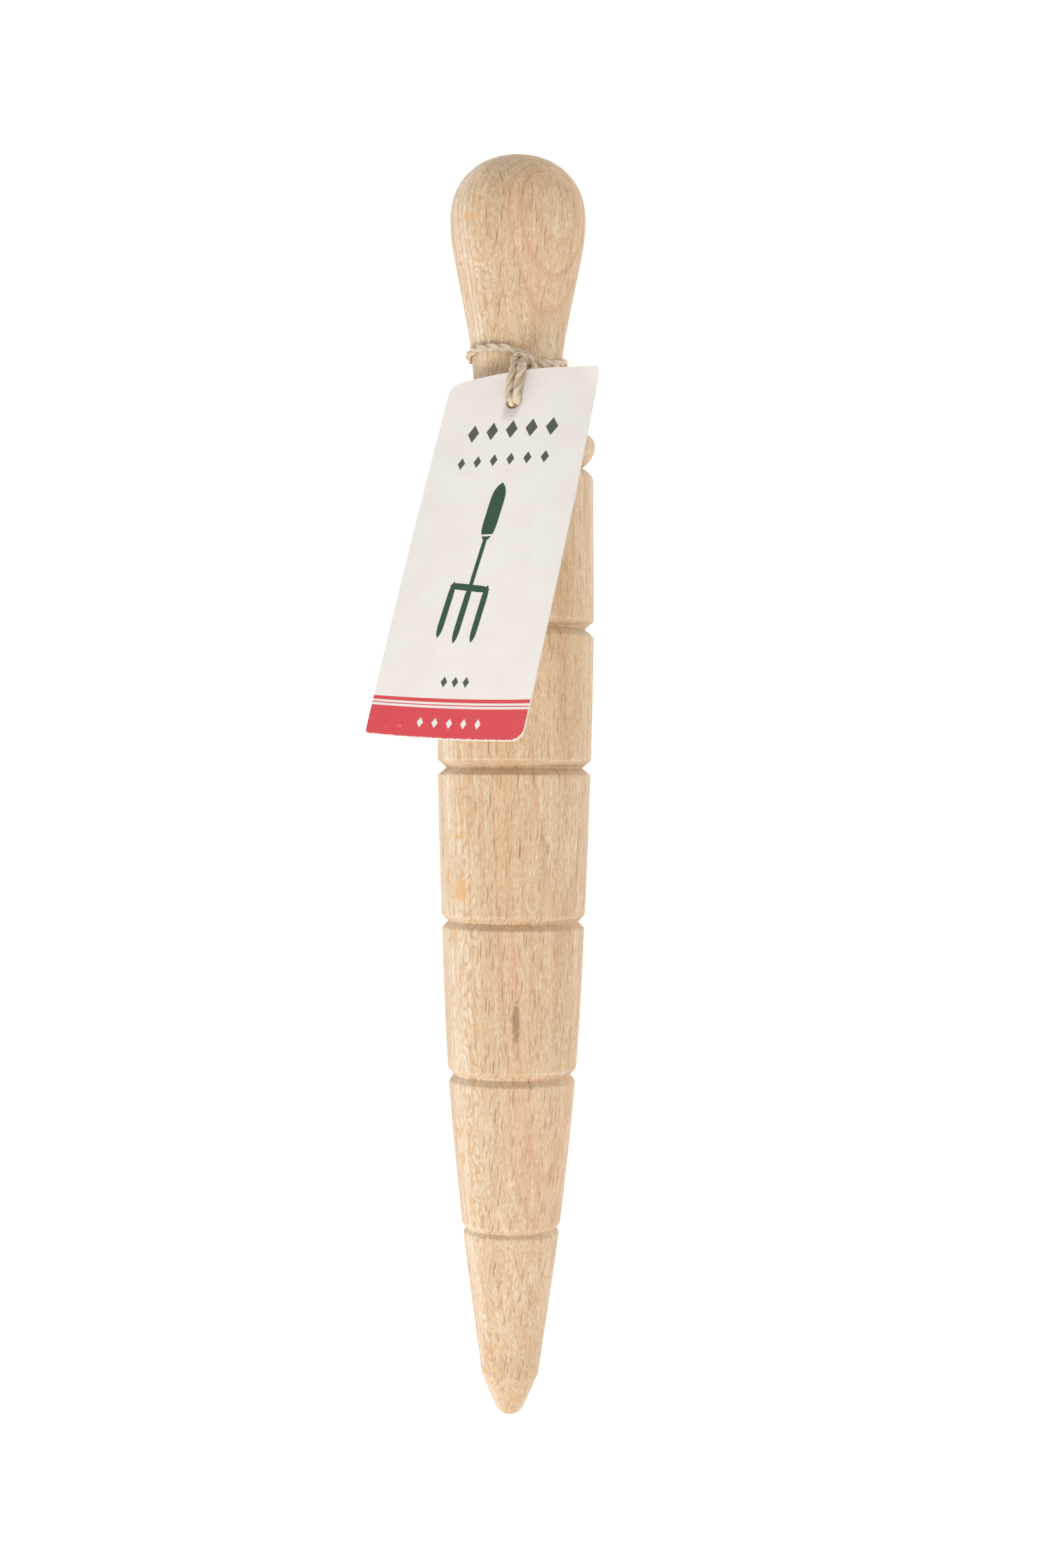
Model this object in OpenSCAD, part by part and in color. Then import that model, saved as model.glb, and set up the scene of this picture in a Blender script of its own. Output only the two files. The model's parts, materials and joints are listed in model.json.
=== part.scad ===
// Turned beech bulb dibber with a card swing tag tied round its handle.
// The tool lies along Y, tip at y = 0 and knob at +Y, resting on z = 0.

/* [Tip] */
// Radius of the rounded nose
nose_r = 3.6; // [2:0.1:5]
// Half-angle of the pointed cone, degrees
cone_angle = 24; // [18:1:32]
// Diameter where the cone meets the shank
cone_d = 13.4; // [12:0.1:17]
// Tip to the first depth ring
first_ring = 44.7; // [36:0.1:56]

/* [Shank] */
// Spacing of the lower depth rings
ring_pitch = 36.4; // [28:0.1:46]
// Gap between the two upper depth rings
last_gap = 33; // [26:0.1:42]
// Plain length from the last ring to the bead notch
plain_len = 38.3; // [30:0.1:48]
// Shank diameter at each depth ring
ring_d = [23, 30.3, 34, 36.4, 37.34];
// Depth of each ring's V-cut
ring_depth = [0.8, 1.3, 1.5, 2.1, 2.2];
// Width of each ring's V-cut
ring_width = [2.2, 3.3, 3.2, 3.5, 3.8];
// Diameter of the plain shoulder below the bead
shoulder_d = 36.7; // [33:0.1:42]
// Length over which the shoulder rounds down into the notch
shoulder_fall = 3.3; // [1:0.1:5]

/* [Bead] */
// Diameter of the bead
bead_d = 37.3; // [33:0.1:42]
// Length of the bead's lower curve, from the notch to its widest place
bead_low = 5.3; // [3:0.1:8]
// Radius of the bead's tight upper curve
bead_top_r = 2.5; // [1.5:0.1:3.5]
// Depth of the notch, measured from the shoulder
notch_depth = 3; // [1.5:0.1:5]
// Roundness of the two curves that fall into the notch
notch_power = 2.2; // [1.6:0.1:3]
// Length of the cove between bead and neck
cove_len = 7.4; // [5:0.1:12]
// Step from the bead's upper curve in to the cove
cove_step = 1.5; // [0.8:0.1:2.5]

/* [Handle] */
// Diameter of the narrowest part of the neck
neck_d = 20.4; // [16:0.1:25]
// Diameter of the knob
knob_d = 32.2; // [26:0.1:40]
// Length of the domed end, from the knob's widest place
dome_len = 15.2; // [12:0.1:19]
// Fullness of the domed end, where 2 is a plain ellipse
dome_power = 2.2; // [2:0.05:2.6]
// Lean of the handle's straight taper, degrees
handle_lean = 11.2; // [9:0.1:13]
// Radius of the arc that runs the taper into the knob
crown_arc = 40; // [30:1:55]
// Radius of the arc that runs the taper into the neck
neck_arc = 101; // [80:1:120]

/* [Twine] */
// Diameter of the twine
twine_d = 2.1; // [1.5:0.1:3]
// Thickness of the twine where it is pulled flat on the handle
twine_flat = 1.4; // [1:0.1:2]
// Slack between the twine and the wood
twine_slack = 0.12; // [0.05:0.01:0.3]
// Distance of the neck twine above the neck's narrowest part
twine_up = 10.7; // [8:0.1:14]
// Radius of the knot
knot_r = 2.7; // [2.2:0.1:3.5]
// Place of the knot across the tool
knot_x = 1.2; // [0:0.1:3]
// Distance of the knot below the neck twine, along the tool
knot_down = 1.4; // [0:0.1:2]

/* [Tag] */
// Width of the card tag
tag_w = 42; // [32:1:54]
// Length of the card tag
tag_len = 90; // [70:1:110]
// Thickness of the card
tag_t = 0.5; // [0.3:0.1:1]
// Radius of the tag's rounded corners
tag_corner = 3; // [1:0.5:6]
// Gap between the two strands and the edge of the tag's hole
hole_slack = 0.35; // [0.3:0.05:1.5]
// Place of the tag's hole across the tool
hole_x = -0.5; // [-2:0.1:1]
// Hole centre to the tag's top edge
hole_edge = 8; // [6:0.1:12]
// Distance of the hole below the knot, along the tool
hole_back = 12; // [10:0.1:14]
// Turn of the tag across the tool, degrees
tag_yaw = 10.5; // [0:0.5:20]
// Rise of the tag's free end, degrees
tag_pitch = 15.5; // [14:0.5:20]
// Sideways lean of the tag, degrees
tag_roll = 33.5; // [28:0.5:38]
// Gap between the tag and the bead it rests over
tag_gap = 0.35; // [0.3:0.05:1]
// Gap between the card and the strands over and under it
strand_gap = 0.25; // [0.1:0.05:0.5]

/* [Hidden] */
$fn = 96;

// Stations along the tool, measured from the tip.
ring_at = [for (i = [0:4]) i < 4 ? first_ring + i * ring_pitch
                                 : first_ring + 3 * ring_pitch + last_gap];
notch_at = ring_at[4] + plain_len;
shoulder_at = notch_at - shoulder_fall;
bead_at = notch_at + bead_low;
bead_top = bead_at + bead_top_r;
neck_at = bead_top + cove_len;

// The handle's side: an arc out of the neck, a straight taper, an arc into the knob.
knob_r = knob_d / 2;
neck_r = neck_d / 2;
arc_rise = 1 - cos(handle_lean);
taper_rise = knob_r - neck_r - (neck_arc + crown_arc) * arc_rise;
taper_len = taper_rise / tan(handle_lean);
taper_from = neck_at + neck_arc * sin(handle_lean);
taper_to = taper_from + taper_len;
knob_at = taper_to + crown_arc * sin(handle_lean);

// Height of the tool's axis, so that its widest turning touches z = 0.
axis_z = max([for (d = concat(ring_d, [shoulder_d, bead_d, knob_d])) d]) / 2;

// Radius of the handle at a station on its neck arc, taper or crown arc.
function handle_r(y) =
    y < taper_from ? neck_r + neck_arc - sqrt(neck_arc ^ 2 - (y - neck_at) ^ 2)
    : y < taper_to ? neck_r + neck_arc * arc_rise + (y - taper_from) * tan(handle_lean)
    : knob_r - crown_arc + sqrt(crown_arc ^ 2 - (knob_at - y) ^ 2);

// The shank's own stations and radii: cone end, five rings, shoulder.
cone_y = nose_r * (1 - sin(cone_angle)) + (cone_d / 2 - nose_r * cos(cone_angle)) / tan(cone_angle);
shank_y = concat([cone_y], ring_at, [shoulder_at]);
shank_r = concat([cone_d / 2], [for (d = ring_d) d / 2], [shoulder_d / 2]);
last = len(shank_y) - 1;

// Slope of the smooth shank curve at its station i.
function slope(i) =
    i == 0 ? (shank_r[1] - shank_r[0]) / (shank_y[1] - shank_y[0])
    : i == last ? 0
    : (shank_r[i + 1] - shank_r[i - 1]) / (shank_y[i + 1] - shank_y[i - 1]);

// Cubic between stations i and i + 1, at the share t of the way.
function swell(i, t) =
    let (h = shank_y[i + 1] - shank_y[i])
    (1 + 2 * t) * (1 - t) ^ 2 * shank_r[i] + t * (1 - t) ^ 2 * h * slope(i)
    + t ^ 2 * (3 - 2 * t) * shank_r[i + 1] + t ^ 2 * (t - 1) * h * slope(i + 1);

// The shank between stations i and i + 1, leaving out the V-cuts at its ends.
shank_steps = 10;
function half_cut(i) = i == 0 || i == last ? 0 : ring_width[i - 1] / 2;
function shank_run(i) =
    let (y0 = shank_y[i] + half_cut(i), y1 = shank_y[i + 1] - half_cut(i + 1),
         h = shank_y[i + 1] - shank_y[i])
    [for (k = [0:shank_steps])
        let (y = y0 + (y1 - y0) * k / shank_steps) [swell(i, (y - shank_y[i]) / h), y]];

// Points of a round stretch: centre [r, y], radius and the angles it runs between.
function arc(c, r, a0, a1, steps) =
    [for (k = [0:steps]) let (a = a0 + (a1 - a0) * k / steps) [c[0] + r * cos(a), c[1] + r * sin(a)]];

// Curve that falls from radius r at station y to the notch's bottom, seen from r's end.
notch_r = shoulder_d / 2 - notch_depth;
function fall(r, y, steps = 8) =
    [for (k = [1:steps]) let (t = k / steps)
        [r - (r - notch_r) * t ^ notch_power, y + (notch_at - y) * t]];
function backwards(list) = [for (k = [len(list) - 1:-1:0]) list[k]];

// The domed end of the knob, a quarter of a full ellipse.
dome_steps = 24;
dome = [for (k = [1:dome_steps]) let (a = 90 * k / dome_steps)
    [k == dome_steps ? 0 : knob_r * cos(a) ^ (2 / dome_power), knob_at + dome_len * sin(a) ^ (2 / dome_power)]];

// The whole turned outline, from the tip to the end of the knob.
handle_steps = 32;
outline = concat(
    [[0, 0]],
    arc([0, nose_r], nose_r, -80, -cone_angle, 6),
    [for (i = [0:last - 1]) each concat(
        shank_run(i),
        i < last - 1 ? [[shank_r[i + 1] - ring_depth[i], shank_y[i + 1]]] : [])],
    fall(shoulder_d / 2, shoulder_at),
    backwards([for (k = [0:6]) fall(bead_d / 2, bead_at)[k]]),
    arc([bead_d / 2 - bead_top_r, bead_at], bead_top_r, 0, 90, 8),
    [for (k = [1:6]) let (a = 15 * k)
        [neck_r + (bead_d / 2 - bead_top_r - cove_step - neck_r) * (1 - sin(a)),
         bead_top + cove_len * (1 - cos(a))]],
    [for (k = [1:handle_steps]) let (y = neck_at + (knob_at - neck_at) * k / handle_steps)
        [handle_r(y), y]],
    dome);

// Turns a flat [radius, station] outline about the tool's axis.
module turned() {
    translate([0, 0, axis_z]) rotate([-90, 0, 0]) rotate_extrude($fn = 128) children();
}

module dibber_body() {
    color([0.87, 0.75, 0.59]) turned() polygon(outline);
}

// Neck twine: a flattened ring round the handle.
twine_at = neck_at + twine_up;
twine_in = handle_r(twine_at + twine_d / 2) + twine_slack;

// Knot: a ball tied on the front of the neck twine.
knot_at = [knot_x, twine_at - knot_down, axis_z + handle_r(twine_at) + twine_slack + knot_r];

module knot_ball(grow = 0) {
    translate(knot_at) sphere(r = knot_r + grow, $fn = 48);
}

// Pressed section of the neck twine, a flat strip with round edges.
module flat_twine() {
    square([twine_flat, twine_d - twine_flat], center = true);
    for (side = [-1, 1])
        translate([0, side * (twine_d - twine_flat) / 2]) circle(d = twine_flat, $fn = 32);
}

module neck_twine() {
    color([0.8, 0.72, 0.6]) difference() {
        turned() translate([twine_in + twine_flat / 2, twine_at]) flat_twine();
        knot_ball();
    }
}

module twine_knot() {
    color([0.78, 0.7, 0.57]) knot_ball();
}

// The tag's own axes: across it, up it, and its normal, which face the tool's frame
// turned by yaw about Z, then pitch about X, then roll about Y.
tag_x = [
    cos(tag_roll) * cos(tag_yaw) + sin(tag_roll) * sin(tag_pitch) * sin(tag_yaw),
    -cos(tag_roll) * sin(tag_yaw) + sin(tag_roll) * sin(tag_pitch) * cos(tag_yaw),
    sin(tag_roll) * cos(tag_pitch)];
tag_y = [
    cos(tag_pitch) * sin(tag_yaw),
    cos(tag_pitch) * cos(tag_yaw),
    -sin(tag_pitch)];
tag_n = cross(tag_x, tag_y);

// Distance of the tag's plane from the origin, where it just clears the bead.
tag_off = bead_at * tag_n[1] + (bead_d / 2 - bead_top_r) * norm([tag_n[0], tag_n[2]])
    + bead_top_r + tag_gap + tag_t / 2;
hole_y = knot_at[1] - hole_back;
hole_at = [hole_x, hole_y, axis_z + (tag_off - hole_x * tag_n[0] - hole_y * tag_n[1]) / tag_n[2]];

// Puts the tag's own axes, x across and y up the tag, at its hole.
module at_hole() {
    translate(hole_at) rotate([0, 0, -tag_yaw]) rotate([-tag_pitch, 0, 0]) rotate([0, -tag_roll, 0])
        children();
}

// Hole that both strands of the loop pass through side by side.
strand_part = 0.04;
strand_x = twine_d / 2 + strand_part;
hole_d = 2 * (strand_x + twine_d / 2 + hole_slack);

// The knot seen from the tag's hole, in the tag's own axes.
knot_from_hole = knot_at - hole_at;
knot_local = [knot_from_hole * tag_x, knot_from_hole * tag_y, knot_from_hole * tag_n];

// Height of the strands' centrelines over and under the card, and their run past its top edge.
strand_z = tag_t / 2 + strand_gap + twine_d / 2;
edge_run = 1.6;

// A run's end just outside the knot, on the line from its last point to the knot.
knot_gap = 0.7;
function knot_end(from) =
    let (v = from - knot_local) knot_local + v * (knot_r + knot_gap) / norm(v);

// Centreline between the two strands: from the knot over the card's edge, down through
// the hole in a half-turn, and back under the card to the knot.
over = [0, hole_edge + edge_run, strand_z];
under = [0, strand_z, -strand_z];
loop_path = concat(
    [knot_end(over), over, [0, hole_edge / 2, strand_z]],
    [for (a = [90:30:270]) [0, strand_z + strand_z * cos(a), strand_z * sin(a)]],
    [knot_end(under)]);

// Tube of round section swept along a path that stays across the tag's x axis.
sides = 8;
module tube(path, r) {
    n = len(path);
    function way(i) = path[min(i + 1, n - 1)] - path[max(i - 1, 0)];
    function out(i) = let (v = cross(way(i), [1, 0, 0])) v / norm(v);
    points = [for (i = [0:n - 1]) for (k = [0:sides - 1])
        let (a = 360 * k / sides, up = out(i), side = cross(way(i), up) / norm(way(i)))
        path[i] + r * (cos(a) * up + sin(a) * side)];
    walls = [for (i = [0:n - 2]) for (k = [0:sides - 1])
        let (j = (k + 1) % sides)
        [i * sides + k, i * sides + j, (i + 1) * sides + j, (i + 1) * sides + k]];
    ends = [[for (k = [sides - 1:-1:0]) k], [for (k = [0:sides - 1]) (n - 1) * sides + k]];
    polyhedron(points, concat(walls, ends));
}

module tag_loop() {
    color([0.8, 0.72, 0.6]) at_hole() for (side = [-1, 1])
        translate([side * strand_x, 0, 0]) tube(loop_path, twine_d / 2);
}

module swing_tag() {
    color([0.93, 0.9, 0.88]) at_hole() translate([0, 0, -tag_t / 2]) difference() {
        linear_extrude(tag_t) translate([-tag_w / 2, hole_edge - tag_len]) union() {
            translate([tag_corner, 0]) square([tag_w - 2 * tag_corner, tag_len]);
            translate([0, tag_corner]) square([tag_w, tag_len - 2 * tag_corner]);
            for (x = [tag_corner, tag_w - tag_corner], y = [tag_corner, tag_len - tag_corner])
                translate([x, y]) circle(r = tag_corner, $fn = 48);
        }
        translate([0, 0, -1]) cylinder(d = hole_d, h = tag_t + 2);
    }
}

dibber_body();
neck_twine();
twine_knot();
tag_loop();
swing_tag();
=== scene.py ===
# %% [markdown]
# # A turned beech bulb dibber with a card swing tag
#
# The tool is one turned piece of beech: a domed knob, a waisted neck, a bead and a long
# tapered shank with five V-cut depth rings. A thin two-ply twine is tied round the handle,
# and a printed card tag hangs from it. The CAD model fixes every size, place and joint. This
# lesson makes the surfaces that are seen: each one is a formula on a grid of numbers, worked
# out as whole numpy arrays.

import json
from types import SimpleNamespace

import bpy
import numpy as np
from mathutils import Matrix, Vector


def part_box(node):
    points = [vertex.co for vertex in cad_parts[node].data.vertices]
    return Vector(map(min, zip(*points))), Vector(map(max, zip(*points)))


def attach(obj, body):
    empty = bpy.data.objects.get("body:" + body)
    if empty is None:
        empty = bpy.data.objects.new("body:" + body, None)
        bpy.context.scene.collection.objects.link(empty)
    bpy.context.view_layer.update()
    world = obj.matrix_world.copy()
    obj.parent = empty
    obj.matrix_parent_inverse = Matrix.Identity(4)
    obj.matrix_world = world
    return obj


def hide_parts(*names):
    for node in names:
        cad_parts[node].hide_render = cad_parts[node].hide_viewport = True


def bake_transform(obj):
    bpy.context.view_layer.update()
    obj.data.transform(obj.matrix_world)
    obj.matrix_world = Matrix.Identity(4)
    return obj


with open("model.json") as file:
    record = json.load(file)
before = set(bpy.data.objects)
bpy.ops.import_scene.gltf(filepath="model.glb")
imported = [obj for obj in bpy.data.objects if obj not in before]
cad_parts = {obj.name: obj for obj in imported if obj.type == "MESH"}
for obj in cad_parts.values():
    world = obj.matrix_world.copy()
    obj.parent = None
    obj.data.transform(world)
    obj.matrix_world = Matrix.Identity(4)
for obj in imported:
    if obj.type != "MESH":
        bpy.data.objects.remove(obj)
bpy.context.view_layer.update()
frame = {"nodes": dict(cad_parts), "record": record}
MM = 0.001

# %% [markdown]
# The axis of the tool runs along Y. Its height, the outline of the turning and the places of
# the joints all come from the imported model, so nothing here is measured twice.

# %% Read the axis and the joints
wood_low, wood_high = (np.array(c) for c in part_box("dibber_body"))
AXIS_Z = (wood_low[2] + wood_high[2]) / 2
JOINTS = {j["name"]: j for j in frame["record"]["behaviour"]["joints"]}
HOLE = np.array(JOINTS["tag_swing"]["pos_m"])
KNOT = np.array(JOINTS["tag_lift"]["pos_m"])
print("axis height %.2f mm, tool %.1f mm long" % (AXIS_Z / MM, (wood_high[1] - wood_low[1]) / MM))

# %% [markdown]
# ## Meshes from grids
#
# Every surface is a grid of points with rows and columns. A grid may close on itself in
# either direction, as a tube does round its section. One helper joins such grids into a
# mesh, and turns the faces outwards by the sign of the volume that they enclose.

# %% Grid helpers
def grid_faces(rows, columns, close_rows=False, close_columns=False):
    """Quads of a grid: each joins a point, its neighbour in the row, and the two in the next row."""
    i = np.arange(rows if close_rows else rows - 1)[:, None]
    j = np.arange(columns if close_columns else columns - 1)[None, :]
    i2, j2 = (i + 1) % rows, (j + 1) % columns
    quads = np.stack([i * columns + j, i * columns + j2, i2 * columns + j2, i2 * columns + j], -1)
    return quads.reshape(-1, 4)


def fan_faces(centre, first, columns, forward):
    """Triangles that join one pole point to a closed row of points."""
    a = first + np.arange(columns)
    b = first + (np.arange(columns) + 1) % columns
    sides = (a, b) if forward else (b, a)
    return np.stack([np.full(columns, centre), *sides], -1)


def enclosed_volume(points, faces):
    """Six times the signed volume: each face's first triangles against the origin, summed."""
    total = 0.0
    for k in range(1, faces.shape[1] - 1):
        a, b, c = points[faces[:, 0]], points[faces[:, k]], points[faces[:, k + 1]]
        total += np.einsum("ij,ij->i", a, np.cross(b, c)).sum()
    return total


def make_mesh(name, points, quads, triangles=np.zeros((0, 3), int)):
    """Writes points, quads and triangles into a mesh whose faces point outwards."""
    if sum(enclosed_volume(points - points.mean(0), faces) for faces in (quads, triangles)) < 0:
        quads, triangles = quads[:, ::-1], triangles[:, ::-1]
    mesh = bpy.data.meshes.new(name)
    mesh.vertices.add(len(points))
    mesh.vertices.foreach_set("co", np.ascontiguousarray(points, np.float32).ravel())
    corners = np.concatenate([quads.ravel(), triangles.ravel()])
    sizes = np.concatenate([np.full(len(quads), 4), np.full(len(triangles), 3)])
    mesh.loops.add(len(corners))
    mesh.loops.foreach_set("vertex_index", corners.astype(np.int32))
    mesh.polygons.add(len(sizes))
    starts = np.concatenate([[0], np.cumsum(sizes)[:-1]])
    mesh.polygons.foreach_set("loop_start", starts.astype(np.int32))
    mesh.update(calc_edges=True)
    mesh.validate()
    mesh.shade_smooth()
    piece = bpy.data.objects.new(name, mesh)
    bpy.context.scene.collection.objects.link(piece)
    return piece


def point_value(piece, name, values):
    """Stores one number a point, which a material can read by its name."""
    layer = piece.data.attributes.new(name, "FLOAT", "POINT")
    layer.data.foreach_set("value", np.ascontiguousarray(values, np.float32))


def smooth_step(x, low, high):
    """Runs from 0 at low to 1 at high along a cubic with flat ends."""
    t = np.clip((x - low) / (high - low), 0, 1)
    return t * t * (3 - 2 * t)


# %% [markdown]
# ## The turned wood
#
# On the lathe the wood is a profile carried round an axis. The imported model's points give that
# profile: each ring of points has one station and one radius.

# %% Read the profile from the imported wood
def packed_profile(node):
    """Station and radius of each ring of points: the largest distance from the axis there."""
    mesh = frame["nodes"][node].data
    points = np.empty(len(mesh.vertices) * 3, np.float32)
    mesh.vertices.foreach_get("co", points)
    points = points.reshape(-1, 3).astype(float)
    radius = np.hypot(points[:, 0], points[:, 2] - AXIS_Z)
    station = np.round(points[:, 1] / MM, 3)
    stations, which = np.unique(station, return_inverse=True)
    largest = np.zeros(len(stations))
    np.maximum.at(largest, which, radius)
    return stations * MM, largest


station, radius = packed_profile("dibber_body")
print(len(station), "rings in the packed profile, widest %.2f mm" % (radius.max() / MM))

# %% [markdown]
# Sandpaper takes the corner off every turned edge, so the profile is blurred by a bell curve as
# wide as such a corner. Rings are then dealt out by effort: a step costs its length, and more
# where the profile turns, so that the V-cuts and the bead get close rings and the long tapers
# get few.

# %% Sample the profile again and soften its edges
FINE = 0.04 * MM
SANDED = 0.16 * MM
WOOD_ROWS = 640
WOOD_COLUMNS = 144


def soften(values, sigma):
    """Blurs a list of values with a bell curve that is sigma wide, holding its two ends."""
    reach = int(np.ceil(3 * sigma / FINE))
    bell = np.exp(-0.5 * (np.arange(-reach, reach + 1) * FINE / sigma) ** 2)
    padded = np.concatenate([2 * values[0] - values[reach:0:-1], values,
                             2 * values[-1] - values[-2:-reach - 2:-1]])
    return np.convolve(padded, bell / bell.sum(), "valid")


run = np.concatenate([[0], np.cumsum(np.hypot(np.diff(station), np.diff(radius)))])
even = np.linspace(0, run[-1], int(run[-1] / FINE))
fine_y = soften(np.interp(even, run, station), SANDED)
fine_r = soften(np.interp(even, run, radius), SANDED)
heading = np.unwrap(np.arctan2(np.gradient(fine_r), np.gradient(fine_y)))
turning = np.abs(np.gradient(heading)) / FINE
TURN_COST, MOST_COST = 1.2 * MM, 6
effort = np.cumsum(1 + np.minimum(turning * TURN_COST, MOST_COST))
pick = np.interp(np.linspace(effort[0], effort[-1], WOOD_ROWS), effort, np.arange(len(effort)))
row_y = np.interp(pick, np.arange(len(fine_y)), fine_y)
row_r = np.interp(pick, np.arange(len(fine_r)), fine_r)
row_r[0] = row_r[-1] = 0
print("profile resampled to", WOOD_ROWS, "rings")

# %% [markdown]
# Hand-held sandpaper leaves the surface very slightly uneven, and the cutter leaves faint
# rings. Both are a few hundredths of a millimetre, enough to break up a highlight. A small
# field of waves, each with its own direction and phase, gives the unevenness. The V-cuts get
# a little more, because the grain tears there.

# %% A closed field of waves
def waves(seed, count, turns, lengths):
    """Sum of sine waves over angle and station, with whole numbers of turns so that it closes."""
    draw = np.random.default_rng(seed)
    k = draw.integers(turns[0], turns[1] + 1, count)
    f = draw.uniform(lengths[0], lengths[1], count)
    p = draw.uniform(0, 2 * np.pi, count)
    return lambda angle, y: sum(
        np.sin(k[i] * angle + f[i] * y / MM + p[i]) for i in range(count)) / np.sqrt(count)


# %% Turn the profile and add the hand's unevenness
UNEVEN, TOOL_MARK, TORN = 0.03 * MM, 0.006 * MM, 0.028 * MM
POLE = 3 * MM
angle = np.linspace(0, 2 * np.pi, WOOD_COLUMNS, endpoint=False)[None, :]
y_grid = row_y[:, None] + 0 * angle
hand = np.minimum(waves(3, 9, (1, 4), (-0.12, 0.12))(angle, y_grid), 1)
tear = waves(5, 14, (9, 40), (-1.5, 1.5))(angle, y_grid)
cutter = np.sin(row_y / MM * 4.2 + 0.6 * np.sin(row_y / MM * 0.31))[:, None]
sharp = np.interp(pick, np.arange(len(turning)), soften(np.minimum(turning * MM, 2), 0.3 * MM))
near_cut = np.clip(sharp * 0.8, 0, 1)[:, None]
pole_fade = smooth_step(row_r, 0, POLE)[:, None]
r_grid = row_r[:, None] + pole_fade * (UNEVEN * hand + TOOL_MARK * cutter + TORN * near_cut * tear)
wood_points = np.stack([r_grid * np.sin(angle), y_grid, AXIS_Z + r_grid * np.cos(angle)], -1)
print("surface moved by up to %.3f mm" % (np.abs(r_grid - row_r[:, None]).max() / MM))

# %% [markdown]
# A turned skin would have a hole at each end, or a ring of faces with no size. Each end ring is
# put down as one point instead, and a fan of triangles joins it to the next ring.

# %% Close the ends and make the wood
inner = wood_points[1:-1].reshape(-1, 3)
quads = grid_faces(WOOD_ROWS - 2, WOOD_COLUMNS, close_columns=True)
near = fan_faces(len(inner), 0, WOOD_COLUMNS, False)
far = fan_faces(len(inner) + 1, (WOOD_ROWS - 3) * WOOD_COLUMNS, WOOD_COLUMNS, True)
wood = make_mesh("turned_beech", np.concatenate([inner, wood_points[[0, -1], 0]]), quads,
                 np.concatenate([near, far]))
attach(wood, "dibber")
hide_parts("dibber_body")
print("turned wood:", len(wood.data.polygons), "faces")

# %% [markdown]
# ## Material nodes without the clutter
#
# A wood or card material takes many small sums. This class writes them as plain calls, so a
# material reads like the formula it stands for. Anything passed in may be a number or the
# output of an earlier call.

# %% A small graph writer
def srgb(red, green, blue):
    """Linear colour of a screen colour given from 0 to 255, by the standard's two-part curve."""
    c = np.array([red, green, blue]) / 255
    linear = np.where(c <= 0.04045, c / 12.92, ((c + 0.055) / 1.055) ** 2.4)
    return (*(float(v) for v in linear), 1.0)


class Graph:
    """Writes shader nodes for one material."""

    def __init__(self, name):
        self.material = bpy.data.materials.new(name)
        self.material.use_nodes = True
        self.tree = self.material.node_tree
        self.shader = self.tree.nodes["Principled BSDF"]
        self.colour = None

    def put(self, socket, value):
        """Links an output to a socket, or sets a plain value on it."""
        if isinstance(value, bpy.types.NodeSocket):
            self.tree.links.new(value, socket)
        else:
            socket.default_value = value

    def node(self, kind, settings=None, **inputs):
        """Makes a node, with its settings and its inputs given by name."""
        made = self.tree.nodes.new(kind)
        for key, value in (settings or {}).items():
            setattr(made, key, value)
        for key, value in inputs.items():
            self.put(made.inputs[key.replace("_", " ")], value)
        return made

    def sum(self, operation, a, b=0.0, c=0.0):
        """One Math node: any of its operations on up to three values."""
        made = self.tree.nodes.new("ShaderNodeMath")
        made.operation = operation
        for socket, value in zip(made.inputs, (a, b, c)):
            self.put(socket, value)
        return made.outputs[0]

    def add(self, a, b):
        return self.sum("ADD", a, b)

    def less(self, a, b):
        return self.sum("SUBTRACT", a, b)

    def times(self, a, b):
        return self.sum("MULTIPLY", a, b)

    def ramp(self, value, low, high, to_low=0.0, to_high=1.0):
        """Carries low..high smoothly to to_low..to_high and holds the ends."""
        made = self.tree.nodes.new("ShaderNodeMapRange")
        made.interpolation_type = "SMOOTHSTEP"
        for key, v in (("Value", value), ("From Min", low), ("From Max", high),
                       ("To Min", to_low), ("To Max", to_high)):
            self.put(made.inputs[key], v)
        return made.outputs["Result"]

    def blend(self, share, a, b):
        """Mixes two colours: all a at share 0, all b at share 1."""
        made = self.tree.nodes.new("ShaderNodeMix")
        made.data_type = "RGBA"
        self.put(made.inputs[0], share)
        self.put(made.inputs[6], a)
        self.put(made.inputs[7], b)
        return made.outputs[2]

    def lay(self, cover, tint):
        """Lays one more tint over the colour so far."""
        self.colour = self.blend(cover, self.colour, tint)

    def vector(self, x, y, z):
        """Joins three numbers into one vector."""
        return self.node("ShaderNodeCombineXYZ", X=x, Y=y, Z=z).outputs[0]

    def noise(self, vector, scale=1.0, detail=2.0, roughness=0.5):
        """Soft noise round one half, with detail more layers of twice the pitch each."""
        return self.node("ShaderNodeTexNoise", Vector=vector, Scale=scale, Detail=detail,
                         Roughness=roughness).outputs["Fac"]

    def bump(self, height, distance, strength=1.0):
        """Tilts the shading by the slope of a height, where height 1 stands distance high."""
        made = self.node("ShaderNodeBump", Height=height, Distance=distance, Strength=strength)
        return made.outputs[0]

    def value(self, name):
        """A number stored on the mesh's points."""
        return self.node("ShaderNodeAttribute", {"attribute_name": name}).outputs["Fac"]


print("graph writer ready")

# %% [markdown]
# ## Beech
#
# Beech shows three things. Its growth rings are faint, and cut the turned form in long
# tongues. Its rays are thin upright blades that run out from the tree's middle: cut across,
# they show as short dark dashes, and cut along, as broad flecks and loops. Last come the fine
# pores. All three are solid figures, worked out in the tree's own coordinates: distance from
# the pith, way round it, and length along it. The turned surface cuts them as the lathe did.

# %% The tree's own coordinates
PITH_TURN = np.radians(39)
PITH_OFF = 60 * MM
WANDER = 2.6 * MM


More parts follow.
